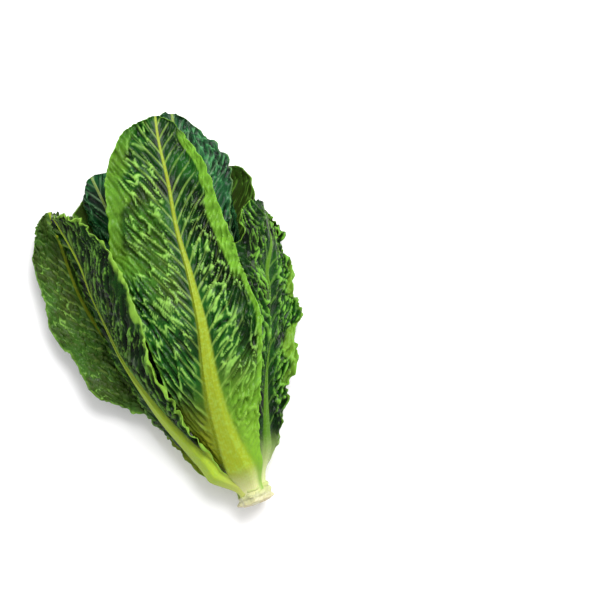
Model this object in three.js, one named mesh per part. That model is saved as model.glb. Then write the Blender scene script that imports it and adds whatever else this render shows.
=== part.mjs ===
// A head of romaine lettuce lying on a table: a short cut stem with sixteen leaves round it, each a solid of its
// own. The leaves splay to both sides, as those of a loose head do when it is laid down.
//
// Units are millimetres. The origin is on the table under the middle of the head. +Y runs along the head from the
// cut stem to the leaf tips, +X is to the right seen from above, +Z is up. The leaf values below are given from
// the centre of the stem's cut, and the whole head is moved at the end.

import * as THREE from "three";

// The stem and the head's inner line
const STEM_HEIGHT = 25; // the cut's centre above the table
const STEM_RISE = 0.12; // the head's inner line climbs this much for each millimetre along Y
const LINE_LEVELS_AT = 130; // from here on the inner line is level
const STEM_CUT_RADIUS = 13;
const STEM_CUT_ROUNDING = 1.5;
const STEM_RADIUS = 11.5; // above the cut's swelling
const STEM_SWELLING = 7; // how far the swelling goes up the stem
const STEM_LENGTH = 88;
const STEM_SIDES = 20;
const SPLAY = 2.3; // how many times wider than high the head is past its middle
const SPLAY_FROM = 30;
const SPLAY_TO = 165;

// Leaf thickness and midrib, the same for every leaf but scaled by its own size
const BLADE = 0.9;
const RIB_HALF_WIDTH = 10;
const RIB_HEIGHT = 3;
const RIB_TIP_HALF_WIDTH = 1.2;
const RIB_TIP_HEIGHT = 0.4;
const RIB_WIDTH_FALL = 2.8; // powers by which the midrib narrows and flattens towards the tip
const RIB_HEIGHT_FALL = 1.3;
const RIB_TOP = 0.45; // the flat top of the midrib, as a share of its width
const RIB_MOST = 0.8; // and the most of the leaf's width that it takes
const TIP_HALF_WIDTH = 4;
const TIP_ROUNDNESS = 2.4;

// How a blade is bent and ruffled. Each FROM is a share of the leaf's length, and OVER how soon it is in full
const OWN_BEND_BY = 0.45; // where a leaf no longer follows the stem's roundness
const MARGIN_TURN = 2.2; // radians that a margin of flare 1 turns outwards
const FLARE_FROM = 0.1;
const FLARE_OVER = 0.5;
const LOBES_FROM = 0.25;
const LOBES_OVER = 0.2;
const RUFFLES_FROM = 0.12;
const RUFFLES_OVER = 0.3;
const SHORT_RUFFLES = 1.63; // short ruffles for each long one, and their height beside it
const SHORT_RUFFLE_HEIGHT = 0.45;
const LEFT_LAG = 1.9; // radians between the ruffles of both margins
const CURL_FROM = 0.78;
const SWAY_SCALE = 1 / (0.25 ** 2 * 0.75 ** 6); // makes t^2 (1 - t)^6, which has its top at a quarter, 1 there
const END_ROWS = 0.5; // how much closer the rows lie at both ends

// How closely leaves lie on each other
const GAP = 0.6;
const RIB_PRESS = 1.4; // how far the head's weight flattens its lowest midrib, and its lowest blade
const BLADE_PRESS = 0.25;

// Each leaf, from the heart outwards. angle is its place round the stem in degrees, 0 to the right and 90 on top,
// and start is how far up the stem it grows. belly and tip shape its midrib: a quadratic curve runs from the stem
// towards belly and ends at tip, both given as [right, along, above the inner line]. width, widest, bend and flare
// are [left, right] seen on the leaf's outer face with its tip up: half widths along the blade, the share of its
// length where it is widest, the radius that each half is wrapped to, and how far each margin turns outwards. base
// is each half's width where it grows from the stem, stalk the share of its length before it widens, lobe how deep
// its margin is scalloped, wave the height of its ruffles and waves their number along a margin. curl is how far
// the tip turns outwards, roll turns the leaf about its midrib, in degrees, sway bows its lower part to the right,
// and rib scales its midrib.
const HEART = {
  rows: 18, bladeColumns: 3, rib: 0.5, base: [5, 5], stalk: 0, widest: [0.7, 0.7], lobe: 0, wave: 0.6, waves: 4,
  flare: [0, 0], roll: 0, curl: 0, sway: 0, colour: 0xa9bd4c,
};
const MIDDLE = {
  rows: 23, bladeColumns: 3, rib: 0.75, base: [6, 6], stalk: 0, widest: [0.69, 0.69], lobe: 0, wave: 1.2, waves: 5,
  flare: [0, 0], roll: 0, curl: 0, sway: 0, colour: 0x5f9433,
};
const OUTER = {
  rows: 27, bladeColumns: 4, rib: 1, base: [7.5, 7.5], stalk: 0, widest: [0.68, 0.68], lobe: 0.03, wave: 2, waves: 5,
  flare: [0, 0], roll: 0, curl: 0, sway: 0, colour: 0x3f7a2a,
};
const LEAVES = [
  { ...HEART, name: "heart_leaf_1", angle: 40, start: 56, belly: [8, 118, 8], tip: [10, 204, 8],
    width: [20, 20], bend: [13, 13], phase: 0.4 },
  { ...HEART, name: "heart_leaf_2", angle: 200, start: 50, belly: [-16, 120, -1], tip: [-14, 214, 1],
    width: [24, 24], bend: [16, 16], phase: 2.8 },
  { ...HEART, name: "heart_leaf_3", angle: 300, start: 44, belly: [8, 124, -13], tip: [10, 224, -9],
    width: [27, 27], bend: [24, 24], phase: 5.2 },
  { ...HEART, name: "heart_leaf_4", angle: 95, start: 40, belly: [-2, 126, 18], tip: [0, 236, 12],
    width: [30, 30], bend: [28, 28], phase: 1.3 },
  { ...MIDDLE, name: "inner_leaf_right", angle: 340, start: 34, belly: [38, 120, 1], tip: [34, 246, 1],
    width: [36, 36], bend: [20, 20], phase: 0.9 },
  { ...MIDDLE, name: "inner_leaf_left", angle: 176, start: 30, belly: [-34, 122, 3], tip: [-34, 254, 3],
    width: [38, 38], bend: [22, 22], phase: 4.1 },
  { ...MIDDLE, name: "inner_leaf_under", angle: 275, start: 27, belly: [4, 128, -16], tip: [6, 268, -12],
    width: [40, 40], bend: [50, 50], phase: 2.2 },
  { ...MIDDLE, name: "side_leaf_right", angle: 10, start: 24, belly: [34, 134, 6], tip: [64, 268, 2], roll: -12,
    width: [40, 28], bend: [34, 50], flare: [0, 0], phase: 1.7, curl: 1 },
  { ...MIDDLE, name: "back_leaf_left", angle: 125, start: 21, belly: [-26, 150, 22], tip: [-36, 288, 10],
    width: [36, 44], bend: [35, 60], flare: [0, 0.2], phase: 5.6, curl: 2 },
  { ...MIDDLE, name: "back_leaf_right", angle: 58, start: 18, belly: [14, 160, 26], tip: [38, 314, 12],
    width: [44, 26], bend: [60, 40], flare: [0.2, 0.2], widest: [0.74, 0.8], wave: 2, phase: 2.5, curl: 5 },
  { ...OUTER, name: "under_leaf_left", angle: 245, start: 11, belly: [-26, 132, -34], tip: [-24, 284, -14],
    width: [48, 44], bend: [120, 50], wave: 1, phase: 0.2 },
  { ...OUTER, name: "under_leaf_right", angle: 305, start: 10, belly: [24, 128, -30], tip: [26, 268, -12],
    width: [44, 28], bend: [60, 50], wave: 1, phase: 3.3 },
  { ...OUTER, name: "splayed_leaf_right", angle: 10, start: 8.5, belly: [32, 118, 10], tip: [70, 226, -6],
    rib: 0.6, roll: -34, width: [44, 36], bend: [46, 130], flare: [0, 0.5], base: [9, 9], widest: [0.6, 0.6],
    lobe: 0.14, wave: 3, waves: 6, phase: 4.4 },
  { ...OUTER, name: "top_leaf", angle: 118, start: 7, belly: [6, 156, 50], tip: [22, 314, 18], rib: 1.5,
    base: [22, 17], width: [54, 43], bend: [80, 80], flare: [0.3, 0.5], widest: [0.68, 0.4], wave: 2.5,
    phase: 0, curl: 2, sway: -6 },
  { ...OUTER, name: "side_leaf_left", angle: 148, start: 9, belly: [-58, 140, 12], tip: [-76, 272, 0],
    rib: 1.25, roll: 22, width: [32, 47], bend: [24, 90], base: [8, 10], flare: [0, 0.2], sway: -9, wave: 2,
    phase: 1.1, curl: 2 },
  { ...OUTER, name: "splayed_leaf_left", angle: 202, start: 8, belly: [-78, 148, -24], tip: [-84, 280, -22],
    width: [40, 36], bend: [30, 100], flare: [0, 0.4], base: [8, 8], stalk: 0.3, widest: [0.6, 0.46], lobe: 0.06,
    wave: 3, phase: 5.9, curl: -5 },
];

const clamp01 = (x) => Math.min(1, Math.max(0, x));
const smooth = (x) => clamp01(x) ** 2 * (3 - 2 * clamp01(x));
const mix = (a, b, x) => a + (b - a) * x;

// The head's inner line, which every leaf is wrapped round.
const lineHeight = (y) => STEM_HEIGHT + STEM_RISE * Math.min(y, LINE_LEVELS_AT);
const splayAt = (y) => mix(1, SPLAY, smooth((y - SPLAY_FROM) / (SPLAY_TO - SPLAY_FROM)));
// The stem is a round stub, swollen at its cut, that narrows to a blunt point among the heart leaves.
function stemRadius(y) {
  return mix(STEM_CUT_RADIUS, STEM_RADIUS, smooth(y / STEM_SWELLING)) * (1 - clamp01(y / STEM_LENGTH));
}

const aboveLine = ([x, y, up]) => new THREE.Vector3(x, y, lineHeight(y) + up);

// A leaf's place at share t of its midrib: a quadratic curve through the stem's side, belly and tip, moved sideways
// by its sway, which is in full at a quarter of its length. along is half the curve's derivative.
function midrib(leaf, t) {
  const angle = THREE.MathUtils.degToRad(leaf.angle);
  const out = stemRadius(leaf.start) + GAP + BLADE;
  const root = new THREE.Vector3(
    out * Math.cos(angle),
    leaf.start,
    lineHeight(leaf.start) + out * Math.sin(angle),
  );
  const belly = aboveLine(leaf.belly);
  const tip = aboveLine(leaf.tip);
  const point = new THREE.QuadraticBezierCurve3(root, belly, tip).getPoint(t);
  const along = belly.clone().sub(root).multiplyScalar(1 - t).addScaledVector(tip.clone().sub(belly), t);
  point.x += leaf.sway * SWAY_SCALE * t ** 2 * (1 - t) ** 6;
  along.x += leaf.sway * SWAY_SCALE * (t * (1 - t) ** 6 - 3 * t ** 2 * (1 - t) ** 5);
  return { point, along: along.normalize() };
}

// The leaf's own directions there: outwards from the head's inner line, and across towards the leaf's right.
function leafFrame(leaf, t) {
  const { point, along } = midrib(leaf, t);
  const splay = splayAt(point.y);
  const out = new THREE.Vector3(point.x / splay ** 2, 0, point.z - lineHeight(point.y));
  out.addScaledVector(along, -out.dot(along)).normalize();
  out.applyAxisAngle(along, THREE.MathUtils.degToRad(leaf.roll));
  const across = new THREE.Vector3().crossVectors(along, out);
  return { point, along, out, across };
}

// Half the blade's width at t: a stalk that widens to the widest place, then a rounded tip, with lobes in between.
function halfWidth(leaf, side, t) {
  const full = leaf.width[side > 0 ? 1 : 0];
  const widest = leaf.widest[side > 0 ? 1 : 0];
  const rising = mix(leaf.base[side > 0 ? 1 : 0], full, smooth((t - leaf.stalk) / (widest - leaf.stalk)));
  const past = clamp01((t - widest) / (1 - widest));
  const tip = full * (1 - past ** TIP_ROUNDNESS) ** (1 / TIP_ROUNDNESS);
  const deep = leaf.lobe * smooth((t - LOBES_FROM) / LOBES_OVER);
  const lobes = 1 + deep * Math.sin(2 * Math.PI * leaf.waves * t + leaf.phase);
  return Math.max((t < widest ? rising : tip) * lobes, TIP_HALF_WIDTH);
}
const ribHalfWidth = (leaf, t) => RIB_TIP_HALF_WIDTH + RIB_HALF_WIDTH * leaf.rib * (1 - t) ** RIB_WIDTH_FALL;
const ribHeight = (leaf, t) => RIB_TIP_HEIGHT + RIB_HEIGHT * leaf.rib * (1 - t) ** RIB_HEIGHT_FALL;

// The blade's section: it leaves the midrib across the leaf and is bent round the head, to the stem's own radius
// at its base and to leaf.bend further on, while its margin turns outwards. Returns how far a point q millimetres
// from the midrib lies across and outwards, as the sum of small straight steps.
const SECTION_STEPS = 12;
function section(leaf, side, t, q, fromLine) {
  const width = halfWidth(leaf, side, t);
  const radius = mix(fromLine, leaf.bend[side > 0 ? 1 : 0], smooth(t / OWN_BEND_BY));
  const flare = leaf.flare[side > 0 ? 1 : 0] * smooth((t - FLARE_FROM) / FLARE_OVER);
  let across = 0;
  let outwards = 0;
  for (let k = 0; k < SECTION_STEPS; k++) {
    const s = (q * (k + 0.5)) / SECTION_STEPS;
    const turn = s / radius - MARGIN_TURN * flare * (s / width) ** 3;
    across += (Math.cos(turn) * q) / SECTION_STEPS;
    outwards -= (Math.sin(turn) * q) / SECTION_STEPS;
  }
  return { across: side * across, outwards };
}

// The margin has more length than the midrib, so it stands in ruffles that die out towards the midrib.
function ruffle(leaf, side, t, share) {
  const phase = leaf.phase + (side > 0 ? 0 : LEFT_LAG);
  const long = Math.sin(2 * Math.PI * leaf.waves * t + phase);
  const short = SHORT_RUFFLE_HEIGHT * Math.sin(2 * Math.PI * SHORT_RUFFLES * leaf.waves * t + 2 * phase);
  return leaf.wave * (long + short) * share ** 2 * smooth((t - RUFFLES_FROM) / RUFFLES_OVER);
}

// The grid of a leaf: rows closer together towards both ends, and columns from the left margin over the midrib's two
// edges and its flat top to the right margin. Each point is in the middle of the blade's thickness.
function leafGrid(leaf) {
  const grid = [];
  for (let i = 0; i < leaf.rows; i++) {
    const t = mix(i / (leaf.rows - 1), smooth(i / (leaf.rows - 1)), END_ROWS);
    const f = leafFrame(leaf, t);
    const fromLine = Math.hypot(f.point.x, f.point.z - lineHeight(f.point.y));
    const row = [];
    for (const side of [-1, 1]) {
      const half = [];
      const width = halfWidth(leaf, side, t);
      const rib = Math.min(ribHalfWidth(leaf, t), RIB_MOST * width);
      const places = [RIB_TOP * rib, rib];
      for (let k = 1; k <= leaf.bladeColumns; k++) places.push(mix(rib, width, k / leaf.bladeColumns));
      places.forEach((q, k) => {
        const s = section(leaf, side, t, q, fromLine);
        const share = q / width;
        const tipTurn = leaf.curl * clamp01((t - CURL_FROM) / (1 - CURL_FROM)) ** 2;
        const outwards = s.outwards + ruffle(leaf, side, t, share) + tipTurn;
        const point = f.point.clone().addScaledVector(f.across, s.across).addScaledVector(f.out, outwards);
        half.push({ point, ridge: k === 0 ? ribHeight(leaf, t) : 0 });
      });
      row.push(...(side < 0 ? half.reverse() : half));
    }
    grid.push(row);
  }
  return grid;
}

// The ground that a new leaf is laid on: how far out the leaves already placed reach, kept in a table by distance
// along the head and by angle round its inner line. Distances out are measured as if the head weren't splayed.
const TABLE_STEP = 2;
const TABLE_FROM = -12;
const TABLE_ROWS = 175;
const TABLE_ANGLES = 120;
const HOLLOW = 4; // no leaf comes closer to the inner line
function polar(point) {
  const x = point.x / splayAt(point.y);
  const z = point.z - lineHeight(point.y);
  const turn = Math.atan2(z, x) / (2 * Math.PI);
  return {
    row: Math.round((point.y - TABLE_FROM) / TABLE_STEP),
    column: Math.round((turn + 1) * TABLE_ANGLES) % TABLE_ANGLES,
    out: Math.hypot(x, z),
  };
}
function stemTable() {
  const table = [];
  for (let r = 0; r < TABLE_ROWS; r++) {
    const y = Math.max(0, TABLE_FROM + r * TABLE_STEP);
    table.push(new Array(TABLE_ANGLES).fill(Math.max(HOLLOW, stemRadius(y))));
  }
  return table;
}
function reachNear(table, place) {
  let reach = 0;
  for (let r = Math.max(0, place.row - 1); r <= Math.min(TABLE_ROWS - 1, place.row + 1); r++) {
    for (let c = place.column - 1; c <= place.column + 1; c++) {
      reach = Math.max(reach, table[r][(c + TABLE_ANGLES) % TABLE_ANGLES]);
    }
  }
  return reach;
}

// Points spread over each cell of a leaf's grid, close enough that no entry of the table is passed over, with the
// share that each of the cell's corners has in them.
const MOST_SAMPLES = 24;
function samplesAcross(corners) {
  const places = corners.map(({ point }) => polar(point));
  let most = 0;
  for (const a of places) {
    for (const b of places) {
      const turn = Math.abs(a.column - b.column);
      most = Math.max(most, Math.abs(a.row - b.row), Math.min(turn, TABLE_ANGLES - turn));
    }
  }
  return Math.min(MOST_SAMPLES, most + 3);
}
function eachSample(grid, visit) {
  for (let i = 0; i + 1 < grid.length; i++) {
    for (let j = 0; j + 1 < grid[i].length; j++) {
      const steps = samplesAcross([grid[i][j], grid[i + 1][j], grid[i][j + 1], grid[i + 1][j + 1]]);
      for (let a = 0; a < steps; a++) {
        for (let b = 0; b < steps; b++) {
          const u = a / (steps - 1);
          const v = b / (steps - 1);
          const corners = [
            [i, j, (1 - u) * (1 - v)],
            [i + 1, j, u * (1 - v)],
            [i, j + 1, (1 - u) * v],
            [i + 1, j + 1, u * v],
          ];
          const point = new THREE.Vector3();
          let ridge = 0;
          for (const [r, c, share] of corners) {
            point.addScaledVector(grid[r][c].point, share);
            ridge += grid[r][c].ridge * share;
          }
          visit(point, ridge, corners);
        }
      }
    }
  }
}

// How far each grid point must move out for the leaf to lie clear of those inside it.
function lackOf(table, grid) {
  const lack = grid.map((row) => row.map(() => 0));
  eachSample(grid, (point, ridge, corners) => {
    const place = polar(point);
    const missing = reachNear(table, place) + GAP + BLADE / 2 - place.out;
    for (const [r, c, share] of corners) {
      if (share > 0.05) lack[r][c] = Math.max(lack[r][c], missing);
    }
  });
  return lack;
}
// The step that takes a point a given distance out, straight away from the head's inner line.
function stepOut(point, distance) {
  const share = distance / polar(point).out;
  return new THREE.Vector3(point.x * share, 0, (point.z - lineHeight(point.y)) * share);
}

// Lays a leaf on those inside it. Each row of its grid is first moved out as a whole, by the mean of its points'
// steps, so that the leaf keeps its width. What still cuts in is then lifted clear point by point, and that lift is
// spread over its neighbourhood so that the blade stays fair. The leaf then counts as ground for the next one.
const ROW_MOVES = 2;
const LIFT_SPREADS = 6;
function layOn(table, grid) {
  for (let n = 0; n < ROW_MOVES; n++) {
    const lack = lackOf(table, grid);
    const moves = grid.map((row, i) => {
      const move = new THREE.Vector3();
      row.forEach(({ point }, j) => move.add(stepOut(point, lack[i][j])));
      return move.divideScalar(row.length);
    });
    grid.forEach((row, i) => {
      const before = moves[Math.max(0, i - 1)];
      const after = moves[Math.min(moves.length - 1, i + 1)];
      const move = moves[i].clone().multiplyScalar(2).add(before).add(after).divideScalar(4);
      row.forEach(({ point }) => point.add(move));
    });
  }
  const lack = lackOf(table, grid);
  let lift = lack;
  for (let n = 0; n < LIFT_SPREADS; n++) {
    lift = lift.map((row, i) =>
      row.map((own, j) => {
        const around = [lift[i - 1]?.[j], lift[i + 1]?.[j], row[j - 1], row[j + 1]].map((x) => x ?? own);
        return Math.max(lack[i][j], (2 * own + around[0] + around[1] + around[2] + around[3]) / 6);
      }),
    );
  }
  grid.forEach((row, i) => row.forEach(({ point }, j) => point.add(stepOut(point, lift[i][j]))));
  eachSample(grid, (point, ridge) => {
    const place = polar(point);
    const row = table[place.row];
    row[place.column] = Math.max(row[place.column], place.out + BLADE / 2 + ridge);
  });
}

// The outward normal at each grid point, from its neighbours along and across the leaf.
function normalAt(grid, i, j) {
  const at = (r, c) => grid[Math.min(Math.max(r, 0), grid.length - 1)][Math.min(Math.max(c, 0), grid[i].length - 1)];
  const along = at(i + 1, j).point.clone().sub(at(i - 1, j).point);
  const across = at(i, j + 1).point.clone().sub(at(i, j - 1).point);
  return across.cross(along).normalize();
}

// A leaf's solid: its inner face, and its outer face with the midrib raised on it, joined by a rim. The outer face
// is flattened where it meets the table.
function leafSolid(grid) {
  const rows = grid.length;
  const columns = grid[0].length;
  const positions = [];
  for (const face of [-1, 1]) {
    for (let i = 0; i < rows; i++) {
      for (let j = 0; j < columns; j++) {
        const { point, ridge } = grid[i][j];
        const offset = face > 0 ? BLADE / 2 + ridge : -BLADE / 2;
        const p = point.clone().addScaledVector(normalAt(grid, i, j), offset);
        positions.push(p.x, p.y, face > 0 ? Math.max(p.z, floorLevel) : p.z);
      }
    }
  }
  const inner = (i, j) => i * columns + j;
  const outer = (i, j) => rows * columns + inner(i, j);
  const index = [];
  const quad = (a, b, c, d) => index.push(a, b, c, a, c, d);
  for (let i = 0; i + 1 < rows; i++) {
    for (let j = 0; j + 1 < columns; j++) {
      quad(outer(i, j), outer(i, j + 1), outer(i + 1, j + 1), outer(i + 1, j));
      index.push(inner(i, j), inner(i + 1, j + 1), inner(i, j + 1));
      index.push(inner(i, j), inner(i + 1, j), inner(i + 1, j + 1));
    }
    quad(inner(i, 0), outer(i, 0), outer(i + 1, 0), inner(i + 1, 0));
    quad(outer(i, columns - 1), inner(i, columns - 1), inner(i + 1, columns - 1), outer(i + 1, columns - 1));
  }
  for (let j = 0; j + 1 < columns; j++) {
    quad(inner(0, j), inner(0, j + 1), outer(0, j + 1), outer(0, j));
    quad(outer(rows - 1, j), outer(rows - 1, j + 1), inner(rows - 1, j + 1), inner(rows - 1, j));
  }
  const geometry = new THREE.BufferGeometry();
  geometry.setAttribute("position", new THREE.Float32BufferAttribute(positions, 3));
  geometry.setIndex(index);
  return geometry;
}

const table = stemTable();
const grids = LEAVES.map((leaf) => {
  const grid = leafGrid(leaf);
  layOn(table, grid);
  return grid;
});

// The table top: level with the lowest part of a midrib or blade that the head's weight has flattened.
let floorLevel = Infinity;
for (const grid of grids) {
  grid.forEach((row, i) =>
    row.forEach(({ point, ridge }, j) => {
      const left = Math.max(0, ridge - RIB_PRESS) + BLADE / 2 - BLADE_PRESS;
      floorLevel = Math.min(floorLevel, point.z - Math.abs(normalAt(grid, i, j).z) * left);
    }),
  );
}

const head = new THREE.Group();

const stemProfile = [new THREE.Vector2(0, 0), new THREE.Vector2(STEM_CUT_RADIUS - STEM_CUT_ROUNDING, 0)];
for (const y of [1, 3, 5.5, 8, 18, 30, 44, 58, 72, 82]) stemProfile.push(new THREE.Vector2(stemRadius(y), y));
stemProfile.push(new THREE.Vector2(0, STEM_LENGTH));
const stem = new THREE.Mesh(
  new THREE.LatheGeometry(stemProfile, STEM_SIDES),
  new THREE.MeshStandardMaterial({ color: 0xe3e6bf, roughness: 0.55, metalness: 0 }),
);
stem.name = "stem";
stem.position.set(0, 0, STEM_HEIGHT);
stem.rotation.x = Math.atan(STEM_RISE);
head.add(stem);

LEAVES.forEach((leaf, n) => {
  const material = new THREE.MeshStandardMaterial({ color: leaf.colour, roughness: 0.45, metalness: 0 });
  const mesh = new THREE.Mesh(leafSolid(grids[n]), material);
  mesh.name = leaf.name;
  head.add(mesh);
});

const middle = new THREE.Box3().setFromObject(head, true).getCenter(new THREE.Vector3());
head.position.set(-middle.x, -middle.y, -floorLevel);

export default head;
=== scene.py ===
# A head of romaine lettuce lying on its side on a pale table, seen from above with its leaf tips away.
# The model is in metres. Values below are millimetres unless they say otherwise, in the head's own
# directions: x to its right seen from above, y along it from the stem's cut to the leaf tips, z up.

import math

import bpy
import numpy as np
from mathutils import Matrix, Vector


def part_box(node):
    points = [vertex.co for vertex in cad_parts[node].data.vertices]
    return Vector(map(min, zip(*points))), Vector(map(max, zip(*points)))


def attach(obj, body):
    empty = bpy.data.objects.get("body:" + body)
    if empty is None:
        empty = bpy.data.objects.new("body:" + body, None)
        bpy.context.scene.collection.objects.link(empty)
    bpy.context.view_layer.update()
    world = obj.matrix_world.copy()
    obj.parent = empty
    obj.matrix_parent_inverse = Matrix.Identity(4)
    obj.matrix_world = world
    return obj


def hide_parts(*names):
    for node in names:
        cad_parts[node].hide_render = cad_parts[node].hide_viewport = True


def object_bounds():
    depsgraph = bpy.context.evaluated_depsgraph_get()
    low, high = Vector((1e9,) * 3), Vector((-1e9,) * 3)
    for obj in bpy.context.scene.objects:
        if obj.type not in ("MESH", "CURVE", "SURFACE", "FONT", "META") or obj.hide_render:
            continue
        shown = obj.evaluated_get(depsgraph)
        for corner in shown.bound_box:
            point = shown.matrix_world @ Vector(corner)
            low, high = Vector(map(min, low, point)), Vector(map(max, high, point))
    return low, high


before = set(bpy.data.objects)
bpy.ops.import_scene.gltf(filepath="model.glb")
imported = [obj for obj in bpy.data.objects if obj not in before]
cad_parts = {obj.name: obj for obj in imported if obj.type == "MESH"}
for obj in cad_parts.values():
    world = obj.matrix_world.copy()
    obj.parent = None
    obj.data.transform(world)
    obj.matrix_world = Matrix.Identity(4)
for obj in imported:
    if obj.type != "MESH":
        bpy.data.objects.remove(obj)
PLAIN_BOX = [list(corner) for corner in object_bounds()]

MM = 0.001  # metres

# The camera looks down on the head, a little from the side of its stem, and the head is turned in the
# picture so that its tips point up and to the left. The picture is square and about half a metre wide.
PICTURE_CENTRE = np.array([95.7, -18.1, 35.0])
PICTURE_FIELD = 480.0
PICTURE_TURN = math.radians(20)
PICTURE_UP = np.array([math.sin(PICTURE_TURN), math.cos(PICTURE_TURN), 0.0])
CAMERA_DISTANCE = 1130.0
CAMERA_ELEVATION = 82.0
SENSOR = 36.0

tilt = math.radians(CAMERA_ELEVATION)
back = -PICTURE_UP * math.cos(tilt) + np.array([0.0, 0.0, math.sin(tilt)])
camera_up = PICTURE_UP * math.sin(tilt) + np.array([0.0, 0.0, math.cos(tilt)])


def put(thing, right, up, back, spot):
    """Puts an object in the scene: its matrix has its three directions and its spot in metres as columns."""
    bpy.context.scene.collection.objects.link(thing)
    matrix = np.eye(4)
    matrix[:3] = np.stack([right, up, back, spot], 1)
    thing.matrix_world = matrix.T.tolist()


camera_data = bpy.data.cameras.new("camera")
camera_data.sensor_width = SENSOR
camera_data.lens = SENSOR * CAMERA_DISTANCE / PICTURE_FIELD
camera = bpy.data.objects.new("camera", camera_data)
put(camera, np.cross(camera_up, back), camera_up, back, (PICTURE_CENTRE + back * CAMERA_DISTANCE) * MM)
bpy.context.scene.camera = camera


# The table is a plain matt white board under soft studio light: a panel like a window, high up to the
# right and towards the leaf tips, and an even white surround that keeps the shadows open.
def linear(hex_colour):
    """The linear colour of an sRGB hex value: each channel by the sRGB curve, with full alpha."""
    values = [int(hex_colour[k : k + 2], 16) / 255 for k in (1, 3, 5)]
    return [v / 12.92 if v <= 0.04045 else ((v + 0.055) / 1.055) ** 2.4 for v in values] + [1.0]


def node(tree, kind, links=(), values=(), **settings):
    """Adds a shader node, makes its settings, gives its unlinked inputs their values and links the others."""
    made = tree.nodes.new(kind)
    for name, setting in settings.items():
        setattr(made, name, setting)
    for socket, value in dict(values).items():
        made.inputs[socket].default_value = value
    for socket, source in dict(links).items():
        tree.links.new(source, made.inputs[socket])
    return made


def new_material(name):
    """A new material and its shader."""
    material = bpy.data.materials.new(name)
    material.use_nodes = True
    return material, material.node_tree.nodes["Principled BSDF"]


TABLE_COLOUR = "#F6F5F6"
TABLE_SIZE = 4000.0

table_material, board = new_material("matt_white_board")
board.inputs["Base Color"].default_value = linear(TABLE_COLOUR)
board.inputs["Roughness"].default_value = 0.9
board.inputs["Specular IOR Level"].default_value = 0.1
half = TABLE_SIZE * MM / 2
table_mesh = bpy.data.meshes.new("table")
table_corners = [(-half, -half, 0), (half, -half, 0), (half, half, 0), (-half, half, 0)]
table_mesh.from_pydata(table_corners, [], [(0, 1, 2, 3)])
table_mesh.materials.append(table_material)
table_top = bpy.data.objects.new("table", table_mesh)
bpy.context.scene.collection.objects.link(table_top)

PANEL_SIZE = 1.1  # metres
PANEL_POWER = 41.0  # watts
PANEL_PLACE = np.array([0.75, 0.6, 1.45])  # metres
SURROUND_STRENGTH = 0.85

panel_data = bpy.data.lights.new("panel", "AREA")
panel_data.shape = "SQUARE"
panel_data.size = PANEL_SIZE
panel_data.energy = PANEL_POWER
panel = bpy.data.objects.new("panel", panel_data)
towards = PANEL_PLACE / np.linalg.norm(PANEL_PLACE)
side = np.cross([0, 0, 1], towards)
side /= np.linalg.norm(side)
put(panel, side, np.cross(towards, side), towards, PANEL_PLACE)

surround = bpy.data.worlds.new("white_surround")
surround.use_nodes = True
surround.node_tree.nodes["Background"].inputs["Color"].default_value = (1, 1, 1, 1)
surround.node_tree.nodes["Background"].inputs["Strength"].default_value = SURROUND_STRENGTH
bpy.context.scene.world = surround
bpy.context.scene.view_settings.view_transform = "Standard"

# The stem is the lettuce's short stout stalk, cut across with a knife and browned round the cut. It is
# pale, moist flesh, lumpy with the scars and stubs of the leaves that were pulled off it, and goes on as
# a core between the leaf bases.
STEM_HEIGHT = 25.0  # its axis, at the cut
STEM_RISE = 0.12  # the slope of its axis
LINE_LEVELS_AT = 130.0
STEM_CUT_RADIUS = 13.0
STEM_RADIUS = 11.5
STEM_SWELLING = 7.0
STEM_LENGTH = 88.0
DRAWN_STEM = 0.985  # the share of its length that is drawn, short of its point
STEM_AROUND = 120
CUT_RINGS = 26
STEM_RINGS = 90
INNER_RING = 0.02  # the cut's innermost ring, as a share of its radius
FIRST_RING = 0.002
RING_CROWDING = 1.6  # the power that sets rings closer together near the cut
CUT_ROUNDING = 1.5
CUT_ROUNDED_OVER = 1.2
CUT_DOME = 0.8
KNIFE_MARK = 2.0
KNIFE_MARK_DEPTH = 0.5
STUBS_OVER = 2.0  # how soon stubs and scars begin from the cut
SCAR_DEPTH = 1.9
SCAR_BIAS = 0.6
SCAR_SPACING = 5.0  # between the scars of two rounds of leaves
SCAR_SHIFT = 1.9  # how much further on the next round's sine is
SCARS_AROUND = 5
SCARRED_TO = 40.0
COLLAR = 2.6  # how far the stubs of pulled leaves stand out round the cut
COLLAR_TO = 23.0
LUMP = 4.0
SMALL_LUMP = 1.6
LUMP_SHARE = 0.05  # of the radius


def clamp01(x):
    """x, but no less than 0 and no more than 1."""
    return np.clip(x, 0.0, 1.0)


def smooth(x):
    """A smooth step from 0 at x = 0 to 1 at x = 1: 3 x^2 - 2 x^3."""
    c = clamp01(x)
    return c * c * (3 - 2 * c)


def mix(a, b, x):
    """a where x is 0 and b where it is 1, in proportion between."""
    return a + (b - a) * x


def noise(u, v, seed):
    """Smooth noise from 0 to 1: random values on a unit lattice in u and v, blended by smooth steps.

    A number that a caller adds to u or v only says where in the lattice it reads."""
    lattice = np.random.default_rng(seed).random((128, 128))
    i = np.floor(u).astype(int)
    j = np.floor(v).astype(int)
    near = mix(lattice[i % 128, j % 128], lattice[(i + 1) % 128, j % 128], smooth(u - i))
    far = mix(lattice[i % 128, (j + 1) % 128], lattice[(i + 1) % 128, (j + 1) % 128], smooth(u - i))
    return mix(near, far, smooth(v - j))


def stem_radius(y):
    """The plain stem's radius: from the cut's swelling to its own by a smooth step, narrowing to a point."""
    swollen = mix(STEM_CUT_RADIUS, STEM_RADIUS, smooth(y / STEM_SWELLING))
    return swollen * (1 - clamp01(y / STEM_LENGTH))


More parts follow.
